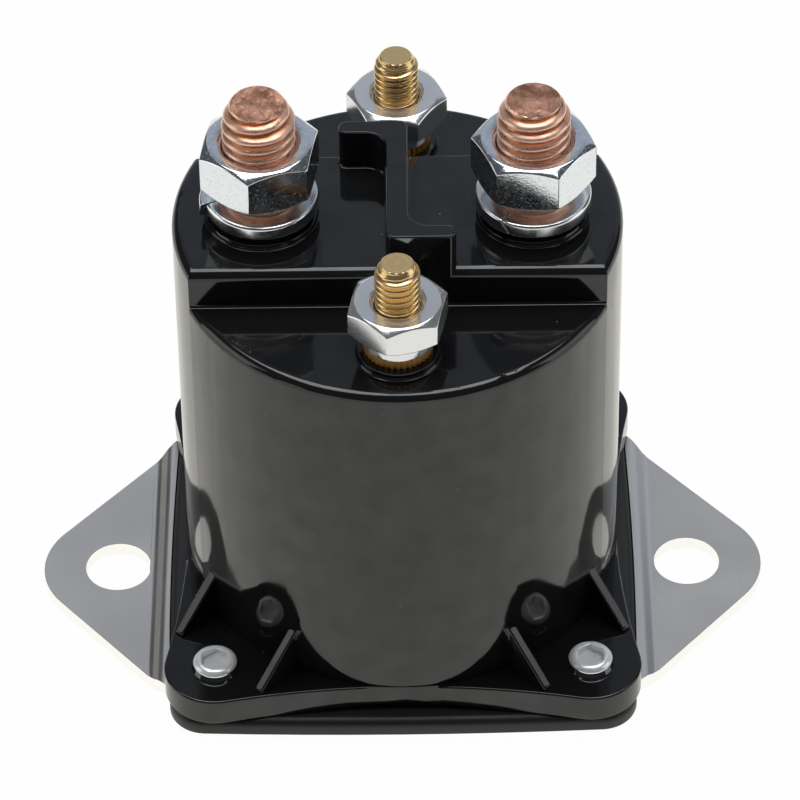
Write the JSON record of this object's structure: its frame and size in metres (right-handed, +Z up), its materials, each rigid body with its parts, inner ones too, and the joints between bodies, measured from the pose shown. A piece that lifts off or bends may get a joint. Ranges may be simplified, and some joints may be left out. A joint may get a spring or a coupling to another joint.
{
  "type": "solenoid relay",
  "caption": "Black moulded round direct current solenoid relay with copper load studs, brass coil studs, a Z barrier between the terminals and a two-eared steel mounting plate",
  "frame": {"origin": "the underside of the two mounting ears, on the axis of the round body", "axes": "+Z runs up the body along the studs and the plunger; +X runs through the load studs and ears to the right as seen from the front; the front, with one coil stud, faces -Y"},
  "size_m": [0.0814, 0.0526, 0.0694],
  "materials": {
    "black_moulding": "black thermoset moulding with a soft sheen",
    "black_pad": "black moulded pad, slightly duller than the housing",
    "plated_steel": "satin plated sheet steel",
    "zinc": "bright zinc plating with fine marks",
    "copper": "bright copper, turned and thread rolled",
    "brass": "bright turned brass",
    "frame_steel": "plated magnetic steel",
    "spring_steel": "drawn spring wire and stamped steel",
    "bobbin_moulding": "natural coloured moulded bobbin",
    "winding_copper": "enamelled copper wire",
    "insulator": "pressed phenolic sheet"
  },
  "bodies": {
    "relay": {"housing": "black_moulding", "base_pad": "black_pad", "mounting_plate": "plated_steel", "base_screw_front_left": "zinc", "base_screw_front_right": "zinc", "base_screw_back_left": "zinc", "base_screw_back_right": "zinc", "load_stud_left": "copper", "load_stud_right": "copper", "load_nut_left": "zinc", "load_nut_right": "zinc", "lock_washer_left": "zinc", "lock_washer_right": "zinc", "coil_stud_front": "brass", "coil_stud_back": "brass", "coil_collar_front": "brass", "coil_collar_back": "brass", "coil_ring_front": "zinc", "coil_ring_back": "zinc", "coil_nut_front": "zinc", "coil_nut_back": "zinc", "coil_can": "frame_steel", "pole_plate": "frame_steel", "bobbin": "bobbin_moulding", "winding": "winding_copper", "coil_lead_front": "winding_copper", "coil_lead_back": "winding_copper", "return_spring": "spring_steel"},
    "plunger": {"plunger": "frame_steel", "push_rod": "frame_steel", "spring_seat": "spring_steel", "contact_spring": "spring_steel", "contact_bush": "insulator", "contact_disc": "copper", "bush_washer": "insulator", "rod_clip": "spring_steel"}
  },
  "joints": [
    {"name": "plunger_slide", "type": "slide", "parent": "relay", "child": "plunger", "axis": [0, 0, 1], "range_m": [0, 0.0023], "stiffness_N_per_m": 1500, "springref_m": -0.004, "deforming": ["return_spring"]}
  ]
}
